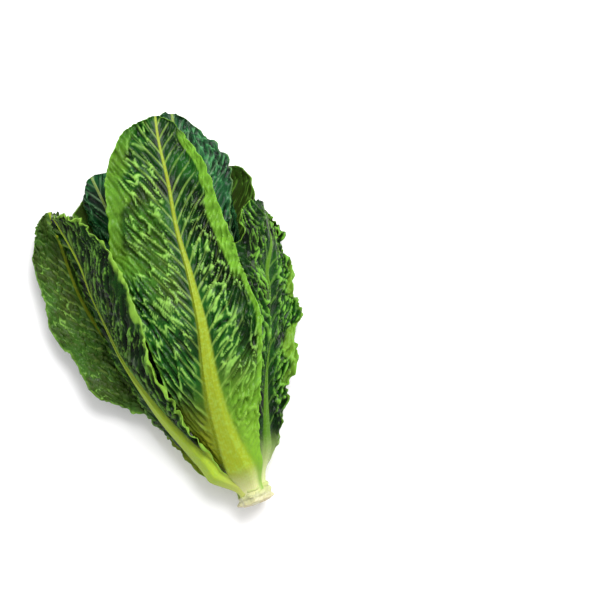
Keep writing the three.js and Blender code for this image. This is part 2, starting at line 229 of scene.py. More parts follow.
def mesh_piece(name, points, faces, material, attributes):
    """A smooth-shaded mesh object from arrays of points in metres and of faces, with its point attributes."""
    mesh = bpy.data.meshes.new(name)
    mesh.from_pydata(points, [], faces)
    mesh.shade_smooth()
    for attribute, values in attributes.items():
        layer = mesh.attributes.new(attribute, "FLOAT", "POINT")
        layer.data.foreach_set("value", values.astype(np.float32).ravel())
    mesh.materials.append(material)
    piece = bpy.data.objects.new(name, mesh)
    bpy.context.scene.collection.objects.link(piece)
    return piece


def loop_faces(rows, columns):
    """Faces of a grid whose last column joins its first: each goes over to the next column, then up a row."""
    i, j = np.meshgrid(np.arange(rows - 1), np.arange(columns), indexing="ij")
    k = (j + 1) % columns
    corners = [i * columns + j, i * columns + k, (i + 1) * columns + k, (i + 1) * columns + j]
    return np.stack(corners, -1).reshape(-1, 4)


def round_noise(turn, height, length, circle, place, seed):
    """Noise from -0.5 to 0.5 up and round the stem, read along a circle in the lattice so that it closes."""
    along = height / length + circle * np.sin(turn) + place[1]
    return noise(place[0] + circle * np.cos(turn), along, seed) - 0.5


# Rings go out over the cut, round its edge and up the stem. Scars are arches round it, shifted from row to
# row. Stubs are a collar that rises and sinks by smooth steps, and the cut is a low dome with knife marks.
on_cut = np.concatenate([np.linspace(INNER_RING, 1, CUT_RINGS), np.ones(STEM_RINGS)])[:, None]
ring_heights = DRAWN_STEM * STEM_LENGTH * np.linspace(FIRST_RING, 1, STEM_RINGS) ** RING_CROWDING
height = np.concatenate([np.zeros(CUT_RINGS), ring_heights])[:, None]
turn = np.linspace(0, 2 * math.pi, STEM_AROUND, endpoint=False)[None, :]
row = height / SCAR_SPACING
arches = np.abs(np.sin(0.5 * SCARS_AROUND * turn + SCAR_SHIFT * np.floor(row)))
arches = arches * np.sin(math.pi * (row % 1.0))
lumps = round_noise(turn, height, LUMP, 3, (4, 9), 11)
lumps = lumps + 0.5 * round_noise(turn, height, SMALL_LUMP, 8, (20, 20), 12)
scarred = smooth(height / STUBS_OVER) * smooth((SCARRED_TO - height) / (0.5 * SCARRED_TO))
collar = COLLAR * smooth(height / STUBS_OVER) * smooth((COLLAR_TO - height) / (0.6 * COLLAR_TO))
radius = stem_radius(height) + collar - CUT_ROUNDING * np.exp(-height / CUT_ROUNDED_OVER)
radius = radius * on_cut * (1 + LUMP_SHARE * lumps) + SCAR_DEPTH * scarred * (arches + lumps - SCAR_BIAS)
sideways, upright = radius * np.cos(turn), radius * np.sin(turn)
knife_marks = noise(sideways / KNIFE_MARK + 30, upright / KNIFE_MARK + 30, 13) - 0.5
domed = CUT_DOME * (1 - on_cut) ** 0.5 + KNIFE_MARK_DEPTH * knife_marks * (1 - on_cut**8)
upwards = height + (height == 0) * domed
stem_slope = math.atan(STEM_RISE)
stem_points = np.stack([
    sideways,
    upwards * math.cos(stem_slope) - upright * math.sin(stem_slope),
    STEM_HEIGHT + upwards * math.sin(stem_slope) + upright * math.cos(stem_slope),
], -1)

# The plain stem's box says where the head is: its sides give the middle, the cut's edge where the cut is,
# and the swelling's lowest point, a millimetre up, how far the whole head stands above the table.
low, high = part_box("stem")
FLOOR = STEM_HEIGHT + math.sin(stem_slope) - stem_radius(1.0) * math.cos(stem_slope) - low.z / MM
HEAD_SHIFT = np.array([
    (low.x + high.x) / 2 / MM,
    low.y / MM + (STEM_CUT_RADIUS - CUT_ROUNDING) * math.sin(stem_slope),
    -FLOOR,
])

# Stem flesh is watery and nearly white, greener where leaves grow, and oxidised yellow-brown along the
# cut's edge and in the scars.
FLESH = "#C2BFA0"
FLESH_DEEP = "#A6A578"
FLESH_GREENED = "#A3B05E"
FLESH_BROWNED = "#A97B33"
FLESH_PATCH = 6.0
FLESH_GRAIN = 1.2
FLESH_BUMP = 0.25
FLESH_SCATTER = 3.0  # how far light spreads in it
RIM_AT = 0.96  # of the cut's radius
RIM_WIDTH = 0.09
BROWNED_TO = 1.6
SCARS_BROWNED = 0.5
GREENED_FROM = 2.0
GREENED_OVER = 14.0


def blended(tree, share, colour, other):
    """A mix node's colour: the first where share is 0 and the other where it is 1, each a hex or a socket."""
    links = {0: share}
    values = {}
    for socket, source in ((6, colour), (7, other)):
        if isinstance(source, str):
            values[socket] = linear(source)
        else:
            links[socket] = source
    return node(tree, "ShaderNodeMix", links, values, data_type="RGBA").outputs[2]


def mottle(tree, place, size, detail):
    """A noise texture's value, in patches of about a size in millimetres."""
    values = {"Scale": 1 / (size * MM), "Detail": detail}
    return node(tree, "ShaderNodeTexNoise", {"Vector": place}, values).outputs["Fac"]


stem_flesh, shader = new_material("stem_flesh")
tree = stem_flesh.node_tree
place = node(tree, "ShaderNodeTexCoord").outputs["Object"]
browned = node(tree, "ShaderNodeAttribute", attribute_name="browned").outputs["Fac"]
greened = node(tree, "ShaderNodeAttribute", attribute_name="greened").outputs["Fac"]
patches = mottle(tree, place, FLESH_PATCH, 5.0)
uneven = node(
    tree, "ShaderNodeMapRange", {"Value": patches},
    {"From Min": 0.35, "From Max": 0.6, "To Min": 0.25, "To Max": 1.0},
).outputs["Result"]
share = node(tree, "ShaderNodeMath", {0: uneven, 1: browned}, operation="MULTIPLY").outputs[0]
flesh = blended(tree, patches, FLESH, FLESH_DEEP)
flesh = blended(tree, greened, flesh, FLESH_GREENED)
flesh = blended(tree, share, flesh, FLESH_BROWNED)
tree.links.new(flesh, shader.inputs["Base Color"])
grain = mottle(tree, place, FLESH_GRAIN, 3.0)
bump = node(tree, "ShaderNodeBump", {"Height": grain}, {"Strength": 0.6, "Distance": FLESH_BUMP * MM})
tree.links.new(bump.outputs["Normal"], shader.inputs["Normal"])
shader.inputs["Roughness"].default_value = 0.42
shader.inputs["Subsurface Weight"].default_value = 0.3
shader.inputs["Subsurface Radius"].default_value = (0.9, 1.0, 0.5)
shader.inputs["Subsurface Scale"].default_value = FLESH_SCATTER * MM

rings, around = radius.shape
faces = loop_faces(rings, around)[:, ::-1].tolist()
faces.append(list(range(around)))
faces.append(list(range((rings - 1) * around, rings * around))[::-1])
at_rim = np.exp(-(((on_cut - RIM_AT) / RIM_WIDTH) ** 2)) * np.exp(-height / BROWNED_TO) + 0 * turn
in_scars = SCARS_BROWNED * smooth(height / 3) * smooth(0.2 - arches - lumps)
stem = mesh_piece("stem_flesh", (stem_points + HEAD_SHIFT).reshape(-1, 3) * MM, faces, stem_flesh, {
    "browned": np.maximum(at_rim, in_scars) * smooth(0.5 + 2 * lumps),
    "greened": smooth((height - GREENED_FROM) / GREENED_OVER) + 0 * turn,
})
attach(stem, "root")
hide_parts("stem")

# Leaves grow round the stem in rounds, the youngest innermost. Every blade is wrapped about one inner line
# that runs up the middle of the head, and the lying head is wider than high, so that distances sideways
# count for less.
SPLAY = 2.3
SPLAY_FROM = 30.0
SPLAY_TO = 165.0
BLADE = 0.9
GAP = 0.6
RIB_HALF_WIDTH = 10.0
RIB_HEIGHT = 3.0
RIB_TIP_HALF_WIDTH = 1.2
RIB_TIP_HEIGHT = 0.4
RIB_WIDTH_FALL = 2.8
RIB_HEIGHT_FALL = 1.3
RIB_TOP = 0.45
RIB_MOST = 0.8
TIP_HALF_WIDTH = 4.0
TIP_ROUNDNESS = 2.4
OWN_BEND_BY = 0.45
MARGIN_TURN = 2.2
FLARE_FROM = 0.1
FLARE_OVER = 0.5
LOBES_FROM = 0.25
LOBES_OVER = 0.2
RUFFLES_FROM = 0.12
RUFFLES_OVER = 0.3
SHORT_RUFFLES = 1.63
SHORT_RUFFLE_HEIGHT = 0.45
LEFT_LAG = 1.9
CURL_FROM = 0.78
SWAY_SCALE = 1 / (0.25**2 * 0.75**6)
END_ROWS = 0.5
SECTION_STEPS = 12


def line_height(y):
    """The head's inner line, which every leaf is wrapped round: it climbs from the stem, then runs level."""
    return STEM_HEIGHT + STEM_RISE * np.minimum(y, LINE_LEVELS_AT)


def splay_at(y):
    """How many times wider than high the head is: 1 at the stem, SPLAY past the middle, by a smooth step."""
    return mix(1, SPLAY, smooth((y - SPLAY_FROM) / (SPLAY_TO - SPLAY_FROM)))


def midrib(leaf, t):
    """Points and directions along a midrib: the quadratic curve from the stem's side towards belly and to the
    tip, and sideways the leaf's sway times SWAY_SCALE t^2 (1 - t)^6. The directions are its derivative."""
    out = stem_radius(leaf["start"]) + GAP + BLADE
    angle = math.radians(leaf["angle"])
    start = leaf["start"]
    root = np.array([out * math.cos(angle), start, line_height(start) + out * math.sin(angle)])
    belly, tip = [np.array([x, y, line_height(y) + up]) for x, y, up in (leaf["belly"], leaf["tip"])]
    t = t[:, None]
    points = (1 - t) ** 2 * root + 2 * t * (1 - t) * belly + t**2 * tip
    along = (1 - t) * (belly - root) + t * (tip - belly)
    sway = leaf["sway"] * SWAY_SCALE
    points[:, :1] += sway * t**2 * (1 - t) ** 6
    along[:, :1] += sway * (t * (1 - t) ** 6 - 3 * t**2 * (1 - t) ** 5)
    return points, along / np.linalg.norm(along, axis=1, keepdims=True)


def leaf_directions(leaf, t):
    """The midrib's points, the way outwards from the inner line, turned by the leaf's roll, and the way to
    the leaf's right, which is along the midrib times outwards."""
    points, along = midrib(leaf, t)
    y = points[:, 1]
    out = np.stack([points[:, 0] / splay_at(y) ** 2, 0 * y, points[:, 2] - line_height(y)], 1)
    out -= along * np.sum(out * along, 1, keepdims=True)
    out /= np.linalg.norm(out, axis=1, keepdims=True)
    roll = math.radians(leaf["roll"])
    out = out * math.cos(roll) + np.cross(along, out) * math.sin(roll)
    return points, out, np.cross(along, out)


def half_width(leaf, right, t):
    """Half the blade's width: a stalk widening by a smooth step, a superellipse to the tip, and lobes."""
    full = leaf["width"][right]
    widest = leaf["widest"][right]
    rising = mix(leaf["base"][right], full, smooth((t - leaf["stalk"]) / (widest - leaf["stalk"])))
    past = clamp01((t - widest) / (1 - widest))
    falling = full * (1 - past**TIP_ROUNDNESS) ** (1 / TIP_ROUNDNESS)
    deep = leaf["lobe"] * smooth((t - LOBES_FROM) / LOBES_OVER)
    lobes = 1 + deep * np.sin(2 * math.pi * leaf["waves"] * t + leaf["phase"])
    return np.maximum(np.where(t < widest, rising, falling) * lobes, TIP_HALF_WIDTH)


def rib_half_width(leaf, t):
    """The midrib's half width, which falls with a power of the distance to the tip."""
    return RIB_TIP_HALF_WIDTH + RIB_HALF_WIDTH * leaf["rib"] * (1 - t) ** RIB_WIDTH_FALL


def rib_height(leaf, t):
    """How far the midrib stands out of the blade, which falls with a power of the distance to the tip."""
    return RIB_TIP_HEIGHT + RIB_HEIGHT * leaf["rib"] * (1 - t) ** RIB_HEIGHT_FALL


def bend(leaf, right, t, places, from_line):
    """How far a section's points lie across and outwards: steps that turn with the wrapping and flare."""
    width = half_width(leaf, right, t)[:, None, None]
    radius = mix(from_line, leaf["bend"][right], smooth(t / OWN_BEND_BY))[:, None, None]
    flare = (leaf["flare"][right] * smooth((t - FLARE_FROM) / FLARE_OVER))[:, None, None]
    steps = (np.arange(SECTION_STEPS) + 0.5) / SECTION_STEPS
    s = places[:, :, None] * steps
    turning = s / radius - MARGIN_TURN * flare * (s / width) ** 3
    return places * np.cos(turning).mean(2), -places * np.sin(turning).mean(2)


def ruffle(leaf, right, t, share):
    """The margin's ruffles: a long and a short sine along it, dying out by a square towards the midrib."""
    phase = leaf["phase"] + (0 if right else LEFT_LAG)
    waves = np.sin(2 * math.pi * leaf["waves"] * t + phase)
    waves = waves + SHORT_RUFFLE_HEIGHT * np.sin(2 * math.pi * SHORT_RUFFLES * leaf["waves"] * t + 2 * phase)
    return leaf["wave"] * (waves * smooth((t - RUFFLES_FROM) / RUFFLES_OVER))[:, None] * share**2


def leaf_plan(leaf):
    """The leaf's coarse grid: rows along it, and columns from margin to margin with two pairs on its rib."""
    u = np.linspace(0, 1, leaf["rows"])
    t = mix(u, smooth(u), END_ROWS)
    points, out, across = leaf_directions(leaf, t)
    from_line = np.hypot(points[:, 0], points[:, 2] - line_height(points[:, 1]))
    tip_turn = leaf["curl"] * clamp01((t - CURL_FROM) / (1 - CURL_FROM)) ** 2
    halves = []
    for right in (0, 1):
        width = half_width(leaf, right, t)
        rib = np.minimum(rib_half_width(leaf, t), RIB_MOST * width)
        steps = [mix(rib, width, k / leaf["blade_columns"]) for k in range(1, leaf["blade_columns"] + 1)]
        places = np.stack([RIB_TOP * rib, rib, *steps], 1)
        sideways, outwards = bend(leaf, right, t, places, from_line)
        outwards = outwards + ruffle(leaf, right, t, places / width[:, None]) + tip_turn[:, None]
        sign = 1 if right else -1
        half = points[:, None] + across[:, None] * sign * sideways[..., None]
        half = half + out[:, None] * outwards[..., None]
        ridge = np.zeros_like(places)
        ridge[:, 0] = rib_height(leaf, t)
        halves.append([half, sign * places, ridge, np.repeat(width[:, None], places.shape[1], 1)])
    left, right = halves
    joined = [np.concatenate([a[:, ::-1], b], 1) for a, b in zip(left, right)]
    return dict(zip(("points", "place", "ridge", "width"), joined))


# Each leaf lies on those inside it. How far out they reach is kept in a table by distance along the head
# and by angle about the inner line. A leaf's rows first move out as a whole, and what still cuts in is
# then lifted clear.
TABLE_STEP = 2.0
TABLE_FROM = -12.0
TABLE_ROWS = 175
TABLE_ANGLES = 120
HOLLOW = 4.0
SAMPLES = 16
LEAST_SHARE = 0.05  # a corner's least share in a sample that moves it
ROW_MOVES = 2
LIFT_SPREADS = 6


def about_line(points, fine=1):
    """A point's row and column in a table, and its distance from the inner line with the splay undone."""
    x = points[..., 0] / splay_at(points[..., 1])
    z = points[..., 2] - line_height(points[..., 1])
    turned = np.arctan2(z, x) / (2 * math.pi) + 1
    row = np.floor((points[..., 1] - TABLE_FROM) / TABLE_STEP * fine + 0.5).astype(int)
    column = np.floor(turned * TABLE_ANGLES * fine + 0.5).astype(int) % (TABLE_ANGLES * fine)
    return np.clip(row, 0, TABLE_ROWS * fine - 1), column, np.hypot(x, z)


def nearby(table, pick):
    """The table with each entry replaced by the pick, least or most, of itself and its eight neighbours."""
    padded = np.pad(table, ((1, 1), (0, 0)), mode="edge")
    rows = pick(pick(padded[:-2], padded[1:-1]), padded[2:])
    return pick(pick(np.roll(rows, 1, 1), rows), np.roll(rows, -1, 1))


def step_out(points, distance):
    """The steps that take points a distance further out, straight away from the inner line."""
    out = about_line(points)[2]
    away = points.copy()
    away[..., 1] = 0
    away[..., 2] -= line_height(points[..., 1])
    return away * (distance / out)[..., None]


def sample_cells(values):
    """Values at points spread evenly over each cell of a grid, in proportion between its four corners."""
    u = np.linspace(0, 1, SAMPLES)
    shares = [np.outer(1 - u, 1 - u), np.outer(u, 1 - u), np.outer(1 - u, u), np.outer(u, u)]
    corners = [values[:-1, :-1], values[1:, :-1], values[:-1, 1:], values[1:, 1:]]
    spread = [w.reshape(w.shape + (1,) * (values.ndim - 2)) for w in shares]
    return sum(c[:, :, None, None] * w for c, w in zip(corners, spread))


def lack_of(table, points):
    """How far each grid point must move out for the leaf to lie clear: the most a sample near it lacks."""
    row, column, out = about_line(sample_cells(points))
    missing = nearby(table, np.maximum)[row, column] + GAP + BLADE / 2 - out
    u = np.linspace(0, 1, SAMPLES)
    lack = np.zeros(points.shape[:2])
    rows, columns = missing.shape[:2]
    for down, over in ((0, 0), (1, 0), (0, 1), (1, 1)):
        share = np.outer(u if down else 1 - u, u if over else 1 - u)
        most = np.where(share > LEAST_SHARE, missing, 0).max((2, 3))
        part = lack[down : down + rows, over : over + columns]
        np.maximum(part, most, out=part)
    return lack


def lay_on(table, plan):
    """Moves rows out by the mean of their points' steps, lifts what still cuts in, adds to the table."""
    points = plan["points"]
    for _ in range(ROW_MOVES):
        moves = step_out(points, lack_of(table, points)).mean(1)
        padded = np.pad(moves, ((1, 1), (0, 0)), mode="edge")
        points = points + ((2 * moves + padded[:-2] + padded[2:]) / 4)[:, None]
    lack = lack_of(table, points)
    lift = lack
    for _ in range(LIFT_SPREADS):
        padded = np.pad(lift, 1, mode="edge")
        around = padded[:-2, 1:-1] + padded[2:, 1:-1] + padded[1:-1, :-2] + padded[1:-1, 2:]
        lift = np.maximum(lack, (2 * lift + around) / 6)
    points = points + step_out(points, lift)
    row, column, out = about_line(sample_cells(points))
    np.maximum.at(table, (row, column), out + BLADE / 2 + sample_cells(plan["ridge"]))
    plan["points"] = points
    return plan


table_y = np.maximum(0.0, TABLE_FROM + TABLE_STEP * np.arange(TABLE_ROWS))
ground = np.repeat(np.maximum(HOLLOW, stem_radius(table_y))[:, None], TABLE_ANGLES, 1)

# The heart is the youngest leaves, small, thin and yellow-green because no light reaches them. They grow
# from the core near its end and run nearly straight between the others.
PLAIN = dict(stalk=0, lobe=0, flare=[0, 0], roll=0, curl=0, sway=0)
HEART = dict(
    PLAIN, rows=18, blade_columns=3, rib=0.5, base=[5, 5], widest=[0.7, 0.7], wave=0.6, waves=4
)
heart_leaves = [
    dict(HEART, name="heart_leaf_1", angle=40, start=56, belly=[8, 118, 8], tip=[10, 204, 8],
         width=[20, 20], bend=[13, 13], phase=0.4),
    dict(HEART, name="heart_leaf_2", angle=200, start=50, belly=[-16, 120, -1], tip=[-14, 214, 1],
         width=[24, 24], bend=[16, 16], phase=2.8),
    dict(HEART, name="heart_leaf_3", angle=300, start=44, belly=[8, 124, -13], tip=[10, 224, -9],
         width=[27, 27], bend=[24, 24], phase=5.2),
    dict(HEART, name="heart_leaf_4", angle=95, start=40, belly=[-2, 126, 18], tip=[0, 236, 12],
         width=[30, 30], bend=[28, 28], phase=1.3),
]
heart_plans = [lay_on(ground, leaf_plan(leaf)) for leaf in heart_leaves]

# The middle leaves are full grown but sheltered, and grow from the stem's side below the heart. Three are
# wrapped round the heart, and the other three look out between the outer leaves.
MIDDLE = dict(
    PLAIN, rows=23, blade_columns=3, rib=0.75, base=[6, 6], widest=[0.69, 0.69], wave=1.2, waves=5
)
middle_leaves = [
    dict(MIDDLE, name="inner_leaf_right", angle=340, start=34, belly=[38, 120, 1], tip=[34, 246, 1],
         width=[36, 36], bend=[20, 20], phase=0.9),
    dict(MIDDLE, name="inner_leaf_left", angle=176, start=30, belly=[-34, 122, 3], tip=[-34, 254, 3],
         width=[38, 38], bend=[22, 22], phase=4.1),
    dict(MIDDLE, name="inner_leaf_under", angle=275, start=27, belly=[4, 128, -16], tip=[6, 268, -12],
         width=[40, 40], bend=[50, 50], phase=2.2),
    dict(MIDDLE, name="side_leaf_right", angle=10, start=24, belly=[34, 134, 6], tip=[64, 268, 2], roll=-12,
         width=[40, 28], bend=[34, 50], phase=1.7, curl=1),
    dict(MIDDLE, name="back_leaf_left", angle=125, start=21, belly=[-26, 150, 22], tip=[-36, 288, 10],
         width=[36, 44], bend=[35, 60], flare=[0, 0.2], phase=5.6, curl=2),
    dict(MIDDLE, name="back_leaf_right", angle=58, start=18, belly=[14, 160, 26], tip=[38, 314, 12],
         width=[44, 26], bend=[60, 40], flare=[0.2, 0.2], widest=[0.74, 0.8], wave=2, phase=2.5, curl=5),
]
middle_plans = [lay_on(ground, leaf_plan(leaf)) for leaf in middle_leaves]

# The outer leaves are the oldest, the broadest and the darkest, with the stoutest midribs, and grow next to
# the cut. The head lies on two of them, two have fallen open to the sides, and one lies on top, under the
# margin of the one that is folded up on its left.
OUTER = dict(
    PLAIN, rows=27, blade_columns=4, rib=1, base=[7.5, 7.5], widest=[0.68, 0.68], lobe=0.03, wave=2, waves=5
)
outer_leaves = [
    dict(OUTER, name="under_leaf_left", angle=245, start=11, belly=[-26, 132, -34], tip=[-24, 284, -14],
         width=[48, 44], bend=[120, 50], wave=1, phase=0.2),
    dict(OUTER, name="under_leaf_right", angle=305, start=10, belly=[24, 128, -30], tip=[26, 268, -12],
         width=[44, 28], bend=[60, 50], wave=1, phase=3.3),
    dict(OUTER, name="splayed_leaf_right", angle=10, start=8.5, belly=[32, 118, 10], tip=[70, 226, -6],
         rib=0.6, roll=-34, width=[44, 36], bend=[46, 130], flare=[0, 0.5], base=[9, 9],
         widest=[0.6, 0.6], lobe=0.14, wave=3, waves=6, phase=4.4),
    dict(OUTER, name="top_leaf", angle=118, start=7, belly=[6, 156, 50], tip=[22, 314, 18], rib=1.5,
         base=[22, 17], width=[54, 43], bend=[80, 80], flare=[0.3, 0.5], widest=[0.68, 0.4], wave=2.5,
         phase=0, curl=2, sway=-6),
    dict(OUTER, name="side_leaf_left", angle=148, start=9, belly=[-58, 140, 12], tip=[-76, 272, 0], rib=1.25,
         roll=22, width=[32, 47], bend=[24, 90], base=[8, 10], flare=[0, 0.2], sway=-9, wave=2, phase=1.1,
         curl=2),
    dict(OUTER, name="splayed_leaf_left", angle=202, start=8, belly=[-78, 148, -24], tip=[-84, 280, -22],
         width=[40, 36], bend=[30, 100], flare=[0, 0.4], base=[8, 8], stalk=0.3, widest=[0.6, 0.46],
         lobe=0.06, wave=3, phase=5.9, curl=-5),
]
outer_plans = [lay_on(ground, leaf_plan(leaf)) for leaf in outer_leaves]

# A blade isn't smooth: its side veins stand out like the barbs of a feather, the tissue between them has
# grown faster than they have and puckers, and the margin is frilled. All of that is raised outwards from
# the plain blade, and only as far as the leaf outside leaves room.
FAIRNESS = 0.6
WANDER = 6.0
WANDER_PATCH = [30.0, 18.0]  # along and across the leaf, as in the other patches
VEIN_WIDTH = [1.5, 0.7]  # at the midrib and at the margin
VEIN_HEIGHT = 0.7
VEIN_FADE = 0.65  # how much fainter a side vein is at the margin
VEIN_PATCH = 16.0
LEAST_VEIN = 0.45
FAINT_VEIN = 0.3  # its share near the stem
VEINS_FROM = 0.7  # midrib half widths
VEINS_OVER = 4.0
CLIMB_OVER = 90.0  # at this distance from the midrib a side vein has climbed twice as far as straight on
MERGE = 9.0  # how far along the midrib a side vein runs before it leaves it
MERGE_OVER = 7.0
CELLS_PER_VEIN = 1.5
CELL_FLOOR = 0.5  # how far from the net's lines a cell is at its deepest
WARP_SCALE = [1.7, 1.9]
WARP = [0.5, 0.9]
FINE_CELLS = [1.7, 1.9]  # how many times narrower and shorter the finer cells are
FINE_SHARE = 0.32
SINK = 0.25  # the share of their depth by which cells sink below the plain blade
LEAST_PUCKER = 0.55
PUCKER_PATCH = [23.0, 17.0]
PUCKERS_FROM = 0.8  # midrib half widths
PUCKERS_OVER = 0.6  # of the gap between two side veins
# Puckers get a painted highlight on their crests and painted shade in their hollows, in patches along the
# leaf.
CREST_LIGHT_PATCH = [19.0, 14.0]
CREST_LIGHT_FROM = 0.1
CREST_LIGHT_OVER = 0.24
GROWN_FROM = 0.05
GROWN_OVER = 0.15
FRILL_LENGTH = 13.0
FRILL_DRIFT = 5.0
FRILL_PATCH = [21.0, 60.0]
NIBBLE_LENGTH = 6.0
NIBBLE_BIAS = 0.6
NIBBLED_FROM = 0.1
NIBBLED_OVER = 0.1
MARGIN_BLADE = 0.5
CLASP_BLADE = 1.2
PRESSED_BLADE = 0.3  # its least thickness where the table presses it
GIVE = 1.5  # how far a blade gives way inwards under the leaf outside it
ROOM_LEFT = 0.15
COVER_FINE = 2
LID = PLAIN_BOX[1][2] / MM + FLOOR + 1.5  # as high as a blade rises
LID_SOFT = 4.0
RIB_COLOUR_TO = 1.35  # midrib half widths
RIB_COLOUR_OVER = 0.75


def cells(u, v, seed):
    """A net of rounded cells, one to a unit square: 1 along the net's lines and 0 in the cells' middles.

    It is 1 less the smooth step of how much farther off the second nearest of strewn points is."""
    strewn = np.random.default_rng(seed).random((2, 128, 128))
    i = np.floor(u).astype(int)
    j = np.floor(v).astype(int)
    nearest = np.full(u.shape, 9.0)
    second = np.full(u.shape, 9.0)
    for k in range(9):
        a, b = i + k // 3 - 1, j + k % 3 - 1
        distance = np.hypot(a + strewn[0, a % 128, b % 128] - u, b + strewn[1, a % 128, b % 128] - v)
        second = np.minimum(second, np.maximum(nearest, distance))
        nearest = np.minimum(nearest, distance)
    return 1 - smooth((second - nearest) / CELL_FLOOR)


def spline_weights(places, count):
    """Each place's shares in a line of points: a Catmull-Rom spline, and FAIRNESS of it a B-spline."""
    i = np.minimum(np.floor(places).astype(int), count - 2)
    f = places - i
    through = [-(f**3) + 2 * f**2 - f, 3 * f**3 - 5 * f**2 + 2, -3 * f**3 + 4 * f**2 + f, f**3 - f**2]
    fair = [(1 - f) ** 3, 3 * f**3 - 6 * f**2 + 4, -3 * f**3 + 3 * f**2 + 3 * f + 1, f**3]
    weights = np.zeros((len(places), count + 2))
    for k in range(4):
        weights[np.arange(len(places)), i + k] += mix(through[k] / 2, fair[k] / 6, FAIRNESS)
    weights[:, 1] += 2 * weights[:, 0]
    weights[:, 2] -= weights[:, 0]
    weights[:, -2] += 2 * weights[:, -1]
    weights[:, -3] -= weights[:, -1]
    return weights[:, 1:-1]


def fair_surface(leaf, plan):
    """The plan's grid drawn fine, with each point's share t and length s along the leaf and q across it."""
    rows, columns = plan["place"].shape
    along = np.linspace(0, rows - 1, leaf["fine"][0])
    across = np.linspace(0, columns - 1, leaf["fine"][1])
    down, over = spline_weights(along, rows), spline_weights(across, columns)
    drawn = {k: np.einsum("ai,ij...,bj->ab...", down, plan[k], over) for k in ("points", "place", "width")}
    u = along / (rows - 1)
    t = mix(u, smooth(u), END_ROWS)
    line = midrib(leaf, t)[0]
    s = np.concatenate([[0], np.cumsum(np.linalg.norm(np.diff(line, axis=0), axis=1))])
    drawn["t"], drawn["s"] = (np.repeat(v[:, None], leaf["fine"][1], 1) for v in (t, s))
    drawn["q"] = drawn["place"]
    drawn["share"] = clamp01(np.abs(drawn["q"]) / drawn["width"])
    drawn["rib"] = np.minimum(rib_half_width(leaf, drawn["t"]), RIB_MOST * drawn["width"])
    return drawn


def normals_of(points):
    """Outward unit normals of a grid: across its rows times along its columns."""
    normal = np.cross(np.gradient(points, axis=1), np.gradient(points, axis=0))
    return normal / np.linalg.norm(normal, axis=2, keepdims=True)


def one_side(pair, right):
    """The left or the right one of a pair of values at each point of a leaf."""
    return np.where(right, pair[1], pair[0])


def patchy(f, patch, place, seed):
    """Noise over a leaf in patches of a length and a width, read from a place in the lattice."""
    return noise(f["s"] / patch[0] + place[0], f["q"] / patch[1] + place[1], seed)


def blade_relief(leaf, f):
    """How far a blade stands out of its plain form, and masks of its veins and of light painted on its net.

    Side veins are where (s - climb a (1 + a / CLIMB_OVER) - MERGE (1 - e^(-a / MERGE_OVER)) + wander) / gap
    is a whole number, a being the distance from the midrib. The tissue between sinks in cells drawn out
    along them, and between those lies a finer net. The frill is a wave along the margin."""
    right = f["q"] > 0
    seed = leaf["seed"]
    a = np.abs(f["q"])
    climb = one_side(leaf["climb"], right)
    gap = one_side(leaf["gap"], right)
    wander = WANDER * (patchy(f, WANDER_PATCH, (5, 40), seed) - 0.5)
    merge = MERGE * (1 - np.exp(-a / MERGE_OVER))
    line = (f["s"] - climb * a * (1 + a / CLIMB_OVER) - merge + wander) / gap + 0.5 * right + 50
    apart = np.abs(line - np.rint(line)) * gap / np.sqrt(1 + climb**2)
    strength = LEAST_VEIN + 0.9 * noise(np.rint(line) * 7.3, a / VEIN_PATCH + 30, seed + 5)
    strength = np.minimum(strength, 1)
    vein = np.exp(-((apart / mix(*VEIN_WIDTH, f["share"])) ** 2)) * (1 - VEIN_FADE * f["share"]) * strength
    long = one_side(leaf["long"], right)
    drawn_out = a * np.sqrt(1 + climb**2) / long + 3.7 * right + 20
    warp = noise(line * WARP_SCALE[0] + 9, drawn_out * WARP_SCALE[1], seed + 6) - 0.5
    coarse = cells(line * CELLS_PER_VEIN + WARP[0] * warp, drawn_out + WARP[1] * warp, seed + 1)
    fine = cells(line * CELLS_PER_VEIN * FINE_CELLS[0], drawn_out * FINE_CELLS[1] + warp, seed + 2)
    net = (1 - FINE_SHARE) * coarse + FINE_SHARE * fine
    uneven = LEAST_PUCKER + 0.9 * patchy(f, PUCKER_PATCH, (3, 60), seed + 7)
    shown = clamp01(1.6 * patchy(f, CREST_LIGHT_PATCH, (13, 50), seed + 8) + 0.3)
    off_rib = smooth((a - f["rib"] * PUCKERS_FROM) / (PUCKERS_OVER * gap))
    grown = smooth((f["t"] - GROWN_FROM) / GROWN_OVER)
    calm = leaf["calm"](f) if "calm" in leaf else 1.0
    height = one_side(leaf["pucker"], right) * off_rib * grown * calm * uneven
    raised = height * (net - SINK)
    raised = raised + VEIN_HEIGHT * vein * smooth((a - VEINS_FROM * f["rib"]) / VEINS_OVER) * grown
    shifted = FRILL_DRIFT * patchy(f, FRILL_PATCH, (9, 9), seed + 3)
    frill = 0.5 + 0.5 * np.sin(2 * math.pi * f["s"] / FRILL_LENGTH + shifted)
    raised = raised + leaf["frill"] * frill * f["share"] ** 5 * grown
    if "folds" in leaf:
        raised = raised + leaf["folds"](f)
    # Painted light: high on the net's ridges for a painted highlight, low in its cells for painted shade.
    painted_crest_light = mix(0.5, net, off_rib * calm * shown * smooth((f["t"] - CREST_LIGHT_FROM) / CREST_LIGHT_OVER))
    return raised, vein * mix(FAINT_VEIN, 1, grown), painted_crest_light


def clasp(points, closed, above):
    """Draws points in towards the inner line, by the share closed, to so much above the stem's radius."""
    height = line_height(points[..., 1])
    out = np.hypot(points[..., 0], points[..., 2] - height)
    share = mix(1, (stem_radius(points[..., 1]) + above) / out, closed)
    return np.stack([points[..., 0] * share, points[..., 1], mix(height, points[..., 2], share)], -1)


